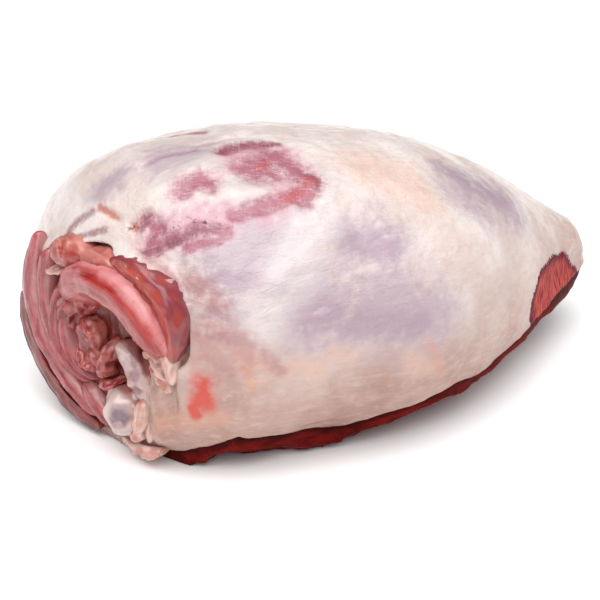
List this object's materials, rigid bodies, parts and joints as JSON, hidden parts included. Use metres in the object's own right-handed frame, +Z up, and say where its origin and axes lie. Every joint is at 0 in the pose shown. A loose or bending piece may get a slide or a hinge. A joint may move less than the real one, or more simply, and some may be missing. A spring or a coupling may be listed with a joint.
{
  "type": "raw leg of lamb",
  "caption": "Raw short-cut leg of lamb with its fat cover, hip end cut across to show muscle ends and thigh bone, shank end trimmed.",
  "frame": {"origin": "on the table, under the middle of the leg's box", "axes": "+X along the leg from the hip cut to the shank end, +Y to the leg's far side, +Z up"},
  "size_m": [0.2333, 0.138, 0.113],
  "materials": {
    "fat_and_meat": "moist raw fat and silverskin over dark pink lean, which is bare in patches and at both cuts",
    "bone": "smooth wet cartilage over bone, off-white with a blue-grey tint"
  },
  "bodies": {
    "root": {"leg": "fat_and_meat", "thigh_bone": "bone"}
  },
  "joints": []
}
